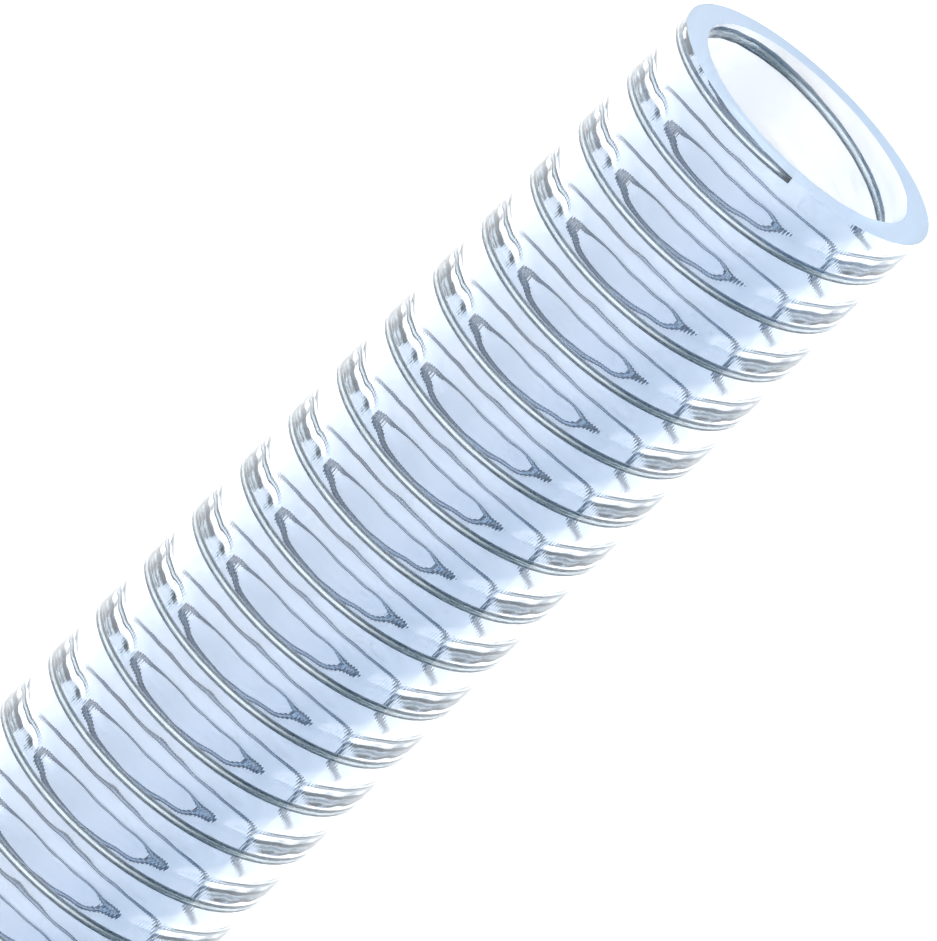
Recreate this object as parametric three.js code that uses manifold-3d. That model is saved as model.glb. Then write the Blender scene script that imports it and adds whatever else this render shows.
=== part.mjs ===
// Clear PVC suction hose with a steel wire coil inside its wall, cut to length and lying on its side.
// One extruded PVC tube and one wire wound as a right-handed helix in the middle of the tube's wall.
// The end at -X is cut square. The end at +X is cut by hand and leans back a little from top to bottom.
// Units are millimetres. The hose's axis runs along X, +Z is up, and the origin is on the surface it lies on.
import * as THREE from "three";
import { mergeVertices } from "three/addons/utils/BufferGeometryUtils.js";
import Module from "manifold-3d";

// Driving dimensions of the hose.
const HOSE_LENGTH = 500; // a half metre cut off the coil
const BORE_DIAMETER = 50; // two inch nominal size
const WALL_THICKNESS = 5; // PVC from the bore to the outside
const WIRE_DIAMETER = 1.8; // spring steel wire
const WIRE_COVER = 1.6; // PVC between the outside and the wire
const COIL_PITCH = 13.5; // from one turn of the wire to the next
const WIRE_END_ANGLE = 80; // degrees up from -Y to where the wire ends, at the +X cut face
const CUT_LEAN = 4; // degrees by which the +X cut face leans back from square, its top reaching furthest

// Clearances and cuts.
const SEAT_GAP = 0.3; // between the wire's flats and those of its seat
const END_COVER = 0.1; // from the +X cut face back to the side of the snipped wire
const SEAT_RUNOUT_STEPS = 1; // steps by which the seat runs on past each end of the wire, out of the cut face

// Fineness of the facets.
const TUBE_SIDES = 48;
const WIRE_SIDES = 6;
const STEPS_PER_TURN = 18;

// Sizes worked out from those above.
const boreRadius = BORE_DIAMETER / 2;
const outerRadius = boreRadius + WALL_THICKNESS;
const wireRadius = WIRE_DIAMETER / 2;
const coilRadius = outerRadius - WIRE_COVER - wireRadius;
const halfLength = HOSE_LENGTH / 2;
const halfFacet = Math.PI / TUBE_SIDES;
const axisHeight = outerRadius * Math.cos(halfFacet); // the tube rests on the flat of its lowest facet
const cutLean = THREE.MathUtils.degToRad(CUT_LEAN);
const wireEndAngle = THREE.MathUtils.degToRad(WIRE_END_ANGLE);
const wireEndDepth = axisHeight - coilRadius * Math.sin(wireEndAngle); // below the top of the tube
const cutAtWireEnd = halfLength - wireEndDepth * Math.tan(cutLean); // along X to the cut, at that depth
const wireEnd = cutAtWireEnd - wireRadius - END_COVER; // how far along X the middle of the wire reaches
const wireSteps = Math.round(((2 * wireEnd) / COIL_PITCH) * STEPS_PER_TURN);
const wireFlat = wireRadius * Math.cos(Math.PI / WIRE_SIDES); // from the middle of the wire to its flats

const clearPvc = new THREE.MeshStandardMaterial({
  color: 0xcfe0ee,
  roughness: 0.08,
  metalness: 0,
  transparent: true,
  opacity: 0.35,
});
const springSteel = new THREE.MeshStandardMaterial({
  color: 0x8d9aa3,
  roughness: 0.3,
  metalness: 1,
});

// The wire's centreline: a right-handed helix about X, carried on by some whole steps past both wire ends.
class CoilCurve extends THREE.Curve {
  constructor(extraSteps) {
    super();
    this.steps = wireSteps + 2 * extraSteps;
    this.reach = (wireEnd * this.steps) / wireSteps;
  }

  angleAt(share) {
    const x = this.reach * (2 * share - 1);
    const unwound = (2 * Math.PI * (wireEnd - x)) / COIL_PITCH;
    return wireEndAngle + unwound;
  }

  getPoint(share, target = new THREE.Vector3()) {
    const angle = this.angleAt(share);
    return target.set(
      this.reach * (2 * share - 1),
      -coilRadius * Math.cos(angle),
      coilRadius * Math.sin(angle),
    );
  }

  // The frame at each step, kept square to the hose's radius so that one flat of the section faces outward.
  computeFrenetFrames(segments) {
    const frames = { tangents: [], normals: [], binormals: [] };
    for (let i = 0; i <= segments; i += 1) {
      const angle = this.angleAt(i / segments);
      const tangent = this.getTangentAt(i / segments);
      const outward = new THREE.Vector3(0, -Math.cos(angle), Math.sin(angle));
      frames.tangents.push(tangent);
      frames.normals.push(outward);
      frames.binormals.push(new THREE.Vector3().crossVectors(tangent, outward));
    }
    return frames;
  }
}

// A rod of regular section swept along the coil, whose flats lie at the given distance from its centreline.
function coiledRod(flatDistance, extraSteps) {
  const curve = new CoilCurve(extraSteps);
  const cornerDistance = flatDistance / Math.cos(Math.PI / WIRE_SIDES);
  const corners = Array.from({ length: WIRE_SIDES }, (_, i) => {
    const turn = (2 * Math.PI * (i + 0.5)) / WIRE_SIDES;
    return new THREE.Vector2(
      cornerDistance * Math.cos(turn),
      cornerDistance * Math.sin(turn),
    );
  });
  return new THREE.ExtrudeGeometry(new THREE.Shape(corners), {
    extrudePath: curve,
    steps: curve.steps,
    bevelEnabled: false,
  });
}

// The plain tube, turned about its axis, with square ends and one facet facing straight down.
function plainTube() {
  const section = [
    [boreRadius, -halfLength],
    [outerRadius, -halfLength],
    [outerRadius, halfLength],
    [boreRadius, halfLength],
    [boreRadius, -halfLength],
  ].map(([radius, along]) => new THREE.Vector2(radius, along));
  return new THREE.LatheGeometry(section, TUBE_SIDES, halfFacet).rotateZ(
    -Math.PI / 2,
  );
}

const wasm = await Module();
wasm.setup();

function solidFrom(geometry) {
  const bare = geometry.clone();
  bare.deleteAttribute("normal");
  bare.deleteAttribute("uv");
  const merged = mergeVertices(bare, 1e-4);
  return new wasm.Manifold(
    new wasm.Mesh({
      numProp: 3,
      vertProperties: merged.attributes.position.array,
      triVerts: new Uint32Array(merged.index.array),
    }),
  );
}

function geometryFrom(solid) {
  const mesh = solid.getMesh();
  const geometry = new THREE.BufferGeometry();
  geometry.setAttribute(
    "position",
    new THREE.BufferAttribute(mesh.vertProperties, 3),
  );
  geometry.setIndex(new THREE.BufferAttribute(mesh.triVerts, 1));
  geometry.computeVertexNormals();
  return geometry;
}

// Takes off what lies beyond the leaning cut, whose plane meets the tube's highest facet at the full length.
function cutLeaning(solid) {
  const inward = [-Math.cos(cutLean), 0, Math.sin(cutLean)];
  const offset = inward[0] * halfLength + inward[2] * axisHeight;
  return solid.trimByPlane(inward, offset);
}

// The PVC tube with the wire's seat cut through its wall, open at both cut faces.
function makeHoseWall() {
  const seat = coiledRod(wireFlat + SEAT_GAP, SEAT_RUNOUT_STEPS);
  const wall = cutLeaning(solidFrom(plainTube())).subtract(solidFrom(seat));
  const mesh = new THREE.Mesh(geometryFrom(wall), clearPvc);
  mesh.name = "pvc_wall";
  return mesh;
}

// The steel wire, snipped square to its own length just inside each cut face.
function makeWireCoil() {
  const mesh = new THREE.Mesh(coiledRod(wireFlat, 0), springSteel);
  mesh.name = "wire_coil";
  return mesh;
}

const hose = new THREE.Group();
hose.add(makeHoseWall(), makeWireCoil());
hose.position.z = axisHeight;

export default hose;
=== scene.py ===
"""Clear PVC suction hose with a steel wire coil in its wall, lying on its side as in the photo.

Metres, in the frame of the CAD model: the hose's axis runs along X at the height of its outside radius, and
+Z is up.
"""

import math

import bpy
import numpy as np
from mathutils import Matrix, Vector


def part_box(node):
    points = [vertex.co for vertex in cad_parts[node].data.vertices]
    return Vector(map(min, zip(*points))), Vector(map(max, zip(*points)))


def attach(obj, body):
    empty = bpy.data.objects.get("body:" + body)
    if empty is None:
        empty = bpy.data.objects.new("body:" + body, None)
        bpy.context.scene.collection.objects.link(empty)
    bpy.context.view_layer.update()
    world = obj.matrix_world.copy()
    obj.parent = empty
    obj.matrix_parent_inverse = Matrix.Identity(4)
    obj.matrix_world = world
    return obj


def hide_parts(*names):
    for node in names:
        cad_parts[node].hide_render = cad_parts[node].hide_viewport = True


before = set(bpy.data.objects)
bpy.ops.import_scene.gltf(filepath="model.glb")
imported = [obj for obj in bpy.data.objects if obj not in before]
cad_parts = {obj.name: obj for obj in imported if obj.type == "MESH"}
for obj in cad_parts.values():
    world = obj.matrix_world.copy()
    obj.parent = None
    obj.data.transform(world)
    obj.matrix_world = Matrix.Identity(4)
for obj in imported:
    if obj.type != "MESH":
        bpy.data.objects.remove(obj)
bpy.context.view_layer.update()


# PVC wall
# The hose's body is one extruded length of clear, faintly blue plasticised PVC: a 50 mm bore in a 60 mm
# outside. It was drawn in over the wire as it cooled, so that the bore is narrower and the outside a little
# fuller at each turn. Both ends were cut with a knife, the one at +X a little off square.
MM = 0.001
low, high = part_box("pvc_wall")
START = low[0]
END = high[0]
OUTER_RADIUS = (high[2] - low[2]) / 2
AXIS_HEIGHT = OUTER_RADIUS
BORE_RADIUS = 25 * MM
CUT_LEAN = math.tan(math.radians(4))  # how far the +X cut leans back for each unit down from the top

# The wire that the wall closes round: right-handed, in the middle of the wall, ending just inside the cut.
PITCH = 13.5 * MM
COIL_RADIUS = 27.5 * MM
WIRE_RADIUS = 0.9 * MM
WIRE_END_ANGLE = math.radians(80)  # up from -Y
WIRE_END_COVER = 0.1 * MM
WIRE_END_DEPTH = AXIS_HEIGHT - COIL_RADIUS * math.sin(WIRE_END_ANGLE)
WIRE_END = END - WIRE_END_DEPTH * CUT_LEAN - WIRE_RADIUS - WIRE_END_COVER

BORE_WAVE = 0.8 * MM  # from the widest to the narrowest place of the bore
BORE_CREST = 0.05  # where the bore is narrowest, in turns past the wire
BORE_UNEVENNESS = 0.12  # share by which that wave's height varies round the bore
OUTSIDE_WAVE = 0.15 * MM  # by which the outside sinks between the turns
DIE_WAVE = 0.006 * MM  # waviness round the bore, drawn along it by the die
DIE_WAVE_COUNTS = range(9, 32)  # how many waves go round the bore
DIE_WAVE_SEED = 3
WALL_SIDES = 128
OUTSIDE_ROWS_PER_PITCH = 6
BORE_ROWS_PER_PITCH = 13
CUT_REACH = 6 * MM  # the last stretch of the grid, which is pressed together to end on the leaning cut


def wall_grid(rows_per_pitch, radius_of):
    """A tube as a grid of rows along X by points round it: x, r cos a and r sin a + axis height.

    a is the angle round from +Y over the top. r comes from radius_of(turn, a), where turn is how far the
    place lies past the wire, in turns: (x - the wire's x at that angle) / pitch. In the last stretch x is
    drawn back to the leaning cut.
    """
    rows = round((END - START) / PITCH * rows_per_pitch) + 1
    angle = 2 * np.pi * np.arange(WALL_SIDES) / WALL_SIDES
    angle, x = np.meshgrid(angle, np.linspace(START, END, rows))
    wire_x = WIRE_END - PITCH * (np.pi - angle - WIRE_END_ANGLE) / (2 * np.pi)
    radius = radius_of((x - wire_x) / PITCH, angle)
    z = AXIS_HEIGHT + radius * np.sin(angle)
    cut = (2 * AXIS_HEIGHT - z) * CUT_LEAN
    x = x - cut * np.clip((x - (END - CUT_REACH)) / CUT_REACH, 0, 1)
    return np.stack([x, radius * np.cos(angle), z], -1)


def outside_radius(turn, angle):
    """Fullest at the wire, and sunk between the turns by a cosine wave."""
    return OUTER_RADIUS - OUTSIDE_WAVE * (1 - np.cos(2 * np.pi * turn)) / 2


def bore_radius(turn, angle):
    """Narrowest by the wire, by a cosine wave whose height varies round the bore.

    It varies with a fixed random waviness: a sum of cosines of whole counts of the angle, each with its own
    height and start, over the root of how many there are.
    """
    chance = np.random.default_rng(DIE_WAVE_SEED)
    waviness = 0
    for count in DIE_WAVE_COUNTS:
        waviness = waviness + chance.normal() * np.cos(count * angle + chance.uniform(0, 2 * np.pi))
    waviness = waviness / math.sqrt(len(DIE_WAVE_COUNTS))
    height = BORE_WAVE * (1 + BORE_UNEVENNESS * waviness)
    return BORE_RADIUS - height * (1 + np.cos(2 * np.pi * (turn - BORE_CREST))) / 2 + DIE_WAVE * waviness


def add_object(name, points, faces):
    """A smooth mesh object of those points and faces, at the origin of the frame."""
    mesh = bpy.data.meshes.new(name)
    mesh.from_pydata(points.reshape(-1, 3).tolist(), [], faces)
    mesh.polygons.foreach_set("use_smooth", np.ones(len(mesh.polygons), dtype=bool))
    mesh.update()
    made = bpy.data.objects.new(name, mesh)
    bpy.context.scene.collection.objects.link(made)
    return made


outside = wall_grid(OUTSIDE_ROWS_PER_PITCH, outside_radius)
bore = wall_grid(BORE_ROWS_PER_PITCH, bore_radius)
section = np.concatenate([outside, bore[::-1]])
row_count = len(section)
row, side = np.meshgrid(np.arange(row_count), np.arange(WALL_SIDES), indexing="ij")
next_row = (row + 1) % row_count
next_side = (side + 1) % WALL_SIDES
corners = [row * WALL_SIDES + side, row * WALL_SIDES + next_side]
corners += [next_row * WALL_SIDES + next_side, next_row * WALL_SIDES + side]
faces = np.stack(corners, -1).reshape(-1, 4)
wall = add_object("pvc_hose_wall", section, faces.tolist())

# The rims of both cut faces are sharp, and the faces fall to three finishes: outside, cut face and bore.
rim_rows = [0, len(outside) - 1, len(outside), row_count - 1]
edge_ends = np.empty(2 * len(wall.data.edges), dtype=np.int32)
wall.data.edges.foreach_get("vertices", edge_ends)
edge_rows = edge_ends.reshape(-1, 2) // WALL_SIDES
on_rim = (edge_rows[:, 0] == edge_rows[:, 1]) & np.isin(edge_rows[:, 0], rim_rows)
wall.data.attributes.new("sharp_edge", "BOOLEAN", "EDGE").data.foreach_set("value", on_rim)

OUTSIDE_FINISH = 0
CUT_FINISH = 1
BORE_FINISH = 2
finish_of_row = np.where(np.arange(row_count) < len(outside), OUTSIDE_FINISH, BORE_FINISH)
finish_of_row[[len(outside) - 1, row_count - 1]] = CUT_FINISH
wall.data.polygons.foreach_set("material_index", np.repeat(finish_of_row, WALL_SIDES).astype(np.int32))

# UV in millimetres: along the hose and round it.
turned = np.stack([row, row, row + 1, row + 1], -1).reshape(-1, 4)
uv_along = section[turned.ravel() % row_count, 0, 0] / MM
uv_round = np.stack([side, side + 1, side + 1, side], -1).ravel() / WALL_SIDES
uv_round = uv_round * 2 * math.pi * BORE_RADIUS / MM
layer = wall.data.uv_layers.new(name="millimetres")
layer.data.foreach_set("uv", np.stack([uv_along, uv_round], -1).astype(np.float32).ravel())


def linear(code, alpha=1.0):
    """The linear colour of an sRGB hex code."""
    parts = [int(code[i : i + 2], 16) / 255 for i in (1, 3, 5)]
    return [c / 12.92 if c <= 0.04045 else ((c + 0.055) / 1.055) ** 2.4 for c in parts] + [alpha]


def add_node(tree, kind, settings=None, inputs=None, links=None):
    """Adds one node, with its settings, the plain values of its inputs and the sockets that feed them."""
    node = tree.nodes.new(kind)
    for name, value in (settings or {}).items():
        setattr(node, name, value)
    for name, value in (inputs or {}).items():
        node.inputs[name].default_value = value
    for name, socket in (links or {}).items():
        tree.links.new(socket, node.inputs[name])
    return node


def new_material(name):
    """An empty node material of that name, with its output node."""
    material = bpy.data.materials.new(name)
    material.use_nodes = True
    material.node_tree.nodes.clear()
    return material, material.node_tree, material.node_tree.nodes.new("ShaderNodeOutputMaterial")


def pvc_material(name, roughness, clearness=1.0, surface="#FFFFFF"):
    """Clear PVC, which takes up a little red light on the way through and scatters some where it is torn."""
    material, tree, output = new_material(name)
    shader = add_node(
        tree,
        "ShaderNodeBsdfPrincipled",
        inputs={
            "Base Color": linear(surface),
            "Transmission Weight": clearness,
            "IOR": 1.53,
            "Roughness": roughness,
        },
    )
    absorption = add_node(
        tree,
        "ShaderNodeVolumeAbsorption",
        inputs={"Color": linear("#CFE0F3"), "Density": 18.0},
    )
    tree.links.new(shader.outputs["BSDF"], output.inputs["Surface"])
    tree.links.new(absorption.outputs["Volume"], output.inputs["Volume"])
    return material, tree, shader


def bump_shader(tree, shader, pattern, height):
    """Bumps the shader's surface by the pattern's factor times the height."""
    bump = add_node(
        tree,
        "ShaderNodeBump",
        inputs={"Strength": 1.0, "Distance": height},
        links={"Height": pattern.outputs["Fac"]},
    )
    tree.links.new(bump.outputs["Normal"], shader.inputs["Normal"])


def streak_noise(tree, place, sizes):
    """Noise whose features have those sizes along the three axes of the place, in the place's own unit."""
    stretched = add_node(
        tree,
        "ShaderNodeMapping",
        settings={"vector_type": "POINT"},
        inputs={"Scale": [1 / size for size in sizes]},
        links={"Vector": place},
    )
    return add_node(
        tree,
        "ShaderNodeTexNoise",
        inputs={"Scale": 1.0, "Detail": 1.0, "Roughness": 0.5},
        links={"Vector": stretched.outputs["Vector"]},
    )


# Outside: plasticised PVC, glossy as it left the die. Long faint die lines bend what is seen through it.
DIE_LINE_SIZES_MM = (60, 1.6, 1)  # along the hose, round it, and the third axis, which a UV map leaves at 0
DIE_LINE_HEIGHT = 0.004 * MM
outside_pvc, outside_tree, outside_shader = pvc_material("clear PVC, glossy outside", 0.0)
outside_uv = add_node(outside_tree, "ShaderNodeUVMap", settings={"uv_map": "millimetres"})
die_lines = streak_noise(outside_tree, outside_uv.outputs["UV"], DIE_LINE_SIZES_MM)
bump_shader(outside_tree, outside_shader, die_lines, DIE_LINE_HEIGHT)

# Cut faces: the knife left them matt, so that they look a frosted blue, with shallow strokes up and down.
KNIFE_STROKE_SIZES = (1 * MM, 0.5 * MM, 6 * MM)
KNIFE_STROKE_HEIGHT = 0.08 * MM
cut_pvc, cut_tree, cut_shader = pvc_material("clear PVC, knife cut", 0.35, 0.6, "#AAC5E2")
cut_place = add_node(cut_tree, "ShaderNodeTexCoord")
knife_strokes = streak_noise(cut_tree, cut_place.outputs["Object"], KNIFE_STROKE_SIZES)
bump_shader(cut_tree, cut_shader, knife_strokes, KNIFE_STROKE_HEIGHT)

# Bore: glossy too, with fine ribs along it from the die, which show as tick marks on its far edge.
RIB_WIDTH_MM = 0.65
RIB_HEIGHT = 0.004 * MM
WAVE_RADIANS = 20  # by which the wave pattern moves on over one unit at a scale of one
bore_pvc, bore_tree, bore_shader = pvc_material("clear PVC, extruded bore", 0.0)
bore_uv = add_node(bore_tree, "ShaderNodeUVMap", settings={"uv_map": "millimetres"})
ribs = add_node(
    bore_tree,
    "ShaderNodeTexWave",
    settings={"wave_type": "BANDS", "bands_direction": "Y", "wave_profile": "SIN"},
    inputs={"Scale": 2 * math.pi / WAVE_RADIANS / RIB_WIDTH_MM, "Distortion": 0.0},
    links={"Vector": bore_uv.outputs["UV"]},
)
bump_shader(bore_tree, bore_shader, ribs, RIB_HEIGHT)

for finish in (outside_pvc, cut_pvc, bore_pvc):
    wall.data.materials.append(finish)

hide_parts("pvc_wall")
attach(wall, "root")


# Wire coil
# One spring steel wire, drawn bright, wound as a helix and cast into the middle of the wall. It runs the
# whole length and was snipped off with the hose at each cut.
WIRE_SIDES = 14
WIRE_STEPS_PER_TURN = 54

# Its middle runs along (x, -R cos a, R sin a + axis height), where a falls by a full turn for each pitch
# of x. Round that lies a circle, across the direction in which the wire runs.
wire_start = START + WIRE_RADIUS + WIRE_END_COVER
wire_steps = round((WIRE_END - wire_start) / PITCH * WIRE_STEPS_PER_TURN)
wire_x = np.linspace(wire_start, WIRE_END, wire_steps + 1)
wire_angle = WIRE_END_ANGLE + 2 * np.pi * (WIRE_END - wire_x) / PITCH
outward = np.stack([0 * wire_x, -np.cos(wire_angle), np.sin(wire_angle)], -1)
middle = COIL_RADIUS * outward + np.stack([wire_x, 0 * wire_x, 0 * wire_x + AXIS_HEIGHT], -1)
tangent = np.gradient(middle, axis=0)
tangent /= np.linalg.norm(tangent, axis=1, keepdims=True)
sideways = np.cross(tangent, outward)
turn = 2 * np.pi * np.arange(WIRE_SIDES)[None, :, None] / WIRE_SIDES
ring = np.cos(turn) * outward[:, None] + np.sin(turn) * sideways[:, None]
wire_points = middle[:, None] + WIRE_RADIUS * ring
step, side = np.meshgrid(np.arange(wire_steps), np.arange(WIRE_SIDES), indexing="ij")
next_side = (side + 1) % WIRE_SIDES
corners = [step * WIRE_SIDES + side, step * WIRE_SIDES + next_side]
corners += [(step + 1) * WIRE_SIDES + next_side, (step + 1) * WIRE_SIDES + side]
faces = np.stack(corners, -1).reshape(-1, 4).tolist()
faces.append(list(range(WIRE_SIDES))[::-1])
faces.append([wire_steps * WIRE_SIDES + i for i in range(WIRE_SIDES)])
wire = add_object("spring_steel_wire", wire_points, faces)


def steel_material(name, settings, place_sizes, height):
    """Bare steel, whose surface is bumped by a noise of those sizes. Gives the noise back as well."""
    material, tree, output = new_material(name)
    shader = add_node(tree, "ShaderNodeBsdfPrincipled", inputs=settings)
    place = add_node(tree, "ShaderNodeTexCoord")
    noise = streak_noise(tree, place.outputs["Object"], place_sizes)
    bump_shader(tree, shader, noise, height)
    tree.links.new(shader.outputs["BSDF"], output.inputs["Surface"])
    return material, tree, shader, noise


# Drawn steel: a semi-gloss grey with faint streaks, duller in places from a film of drawing lubricant.
STREAK_SIZES = (0.4 * MM, 3 * MM, 3 * MM)
STREAK_HEIGHT = 0.01 * MM
steel, steel_tree, steel_shader, streaks = steel_material(
    "drawn spring steel",
    {"Base Color": linear("#A3AEB5"), "Metallic": 1.0},
    STREAK_SIZES,
    STREAK_HEIGHT,
)
dullness = add_node(
    steel_tree,
    "ShaderNodeMapRange",
    inputs={"From Min": 0.3, "From Max": 0.7, "To Min": 0.16, "To Max": 0.34},
    links={"Value": streaks.outputs["Fac"]},
)
steel_tree.links.new(dullness.outputs["Result"], steel_shader.inputs["Roughness"])

# Snipped ends: steel torn by the cutter, rough and bright, with the first rust on it in specks.
TEAR_SIZES = (0.5 * MM, 0.5 * MM, 0.15 * MM)
TEAR_HEIGHT = 0.05 * MM
snipped, snipped_tree, snipped_shader, tears = steel_material(
    "snipped spring steel",
    {"Metallic": 0.6, "Roughness": 0.5},
    TEAR_SIZES,
    TEAR_HEIGHT,
)
rust = add_node(
    snipped_tree,
    "ShaderNodeMix",
    settings={"data_type": "RGBA"},
    inputs={"A": linear("#D9D2CA"), "B": linear("#B98A66")},
    links={"Factor": tears.outputs["Fac"]},
)
snipped_tree.links.new(rust.outputs["Result"], snipped_shader.inputs["Base Color"])
wire.data.materials.append(steel)
wire.data.materials.append(snipped)
for end_face in wire.data.polygons[-2:]:
    end_face.material_index = 1
    end_face.use_smooth = False

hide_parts("wire_coil")
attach(wire, "root")


cut_centre = Vector((END - AXIS_HEIGHT * CUT_LEAN, 0, AXIS_HEIGHT))


# Camera
# The photo looks down on the hose from a long way off, with the hose's axis running up to the right across
# the frame.
PHOTO_WIDTH = 937  # pixels
PHOTO_HEIGHT = 941
PHOTO_OUTSIDE = 328.5  # the hose's outside diameter in pixels
PHOTO_END_X = 808  # the middle of the cut end, in pixels from the left
PHOTO_END_Y = 124  # and from the top
AXIS_TILT = math.radians(22.2)  # of the view, from straight down, so that the cut end shows
CAMERA_DISTANCE = 8.0
CAMERA_REACH = 100.0
SENSOR_WIDTH = 36.0  # millimetres, as the lens is

scene = bpy.context.scene
pixel = 2 * OUTER_RADIUS / PHOTO_OUTSIDE
along = Vector((math.cos(AXIS_TILT), 0, -math.sin(AXIS_TILT)))
across = Vector((0, 1, 0))
backward = Vector((math.sin(AXIS_TILT), 0, math.cos(AXIS_TILT)))
rightward = (along - across) / math.sqrt(2)
upward = (along + across) / math.sqrt(2)
view_centre = (
    cut_centre
    - rightward * (PHOTO_END_X - PHOTO_WIDTH / 2) * pixel
    - upward * (PHOTO_HEIGHT / 2 - PHOTO_END_Y) * pixel
)
camera_data = bpy.data.cameras.new("camera")
camera_data.sensor_fit = "HORIZONTAL"
camera_data.sensor_width = SENSOR_WIDTH
camera_data.lens = SENSOR_WIDTH * CAMERA_DISTANCE / (PHOTO_WIDTH * pixel)
camera_data.clip_end = CAMERA_REACH
camera = bpy.data.objects.new("camera", camera_data)
camera_place = Matrix((rightward, upward, backward)).transposed().to_4x4()
camera_place.translation = view_centre + backward * CAMERA_DISTANCE
camera.matrix_world = camera_place
scene.collection.objects.link(camera)
scene.camera = camera


# Floor
# A plain sheet of matt white paper, far wider than the hose and faintly lit from below, like a light table.
FLOOR_SIZE = 80.0

bpy.ops.mesh.primitive_plane_add(size=FLOOR_SIZE)
floor = bpy.context.object
floor.name = "studio_floor"
paper, paper_tree, paper_output = new_material("matt white paper")
paper_shader = add_node(
    paper_tree,
    "ShaderNodeBsdfPrincipled",
    inputs={
        "Base Color": (0.92, 0.92, 0.92, 1),
        "Roughness": 0.9,
        "Specular IOR Level": 0.0,
        "Emission Color": (1, 1, 1, 1),
        "Emission Strength": 0.6,
    },
)
paper_tree.links.new(paper_shader.outputs["BSDF"], paper_output.inputs["Surface"])
floor.data.materials.append(paper)


# Light
# A soft white tent: brightest overhead and beyond the cut end, falling to a blue grey low on the near and
# left side, which darkens one side of each wire.
LIGHT_SIDE = Vector((0.25, 0.5, 0.83)).normalized()
tent = bpy.data.worlds.new("light tent")
scene.world = tent
tent.use_nodes = True
tent_tree = tent.node_tree
place = add_node(tent_tree, "ShaderNodeTexCoord")
toward = add_node(
    tent_tree,
    "ShaderNodeVectorMath",
    settings={"operation": "DOT_PRODUCT"},
    links={"Vector": place.outputs["Generated"]},
)
toward.inputs[1].default_value = LIGHT_SIDE
rise = add_node(
    tent_tree,
    "ShaderNodeMapRange",
    settings={"interpolation_type": "SMOOTHSTEP"},
    inputs={"From Min": -0.1, "From Max": 0.85},
    links={"Value": toward.outputs["Value"]},
)
shade = add_node(
    tent_tree,
    "ShaderNodeMix",
    settings={"data_type": "RGBA"},
    inputs={"A": (0.20, 0.30, 0.36, 1), "B": (2.4, 2.4, 2.4, 1)},
    links={"Factor": rise.outputs["Result"]},
)
tent_tree.links.new(shade.outputs["Result"], tent_tree.nodes["Background"].inputs["Color"])


# Render settings that belong to the look
# Light passes several walls of the clear tube, so it is followed through many bounces.
scene.cycles.max_bounces = 14
scene.cycles.diffuse_bounces = 2
scene.cycles.transmission_bounces = 12
scene.cycles.glossy_bounces = 8
scene.cycles.transparent_max_bounces = 8
scene.cycles.adaptive_threshold = 0.05
scene.cycles.adaptive_min_samples = 16
scene.cycles.use_denoising = True
scene.view_settings.view_transform = "Standard"
scene.view_settings.exposure = 0.0
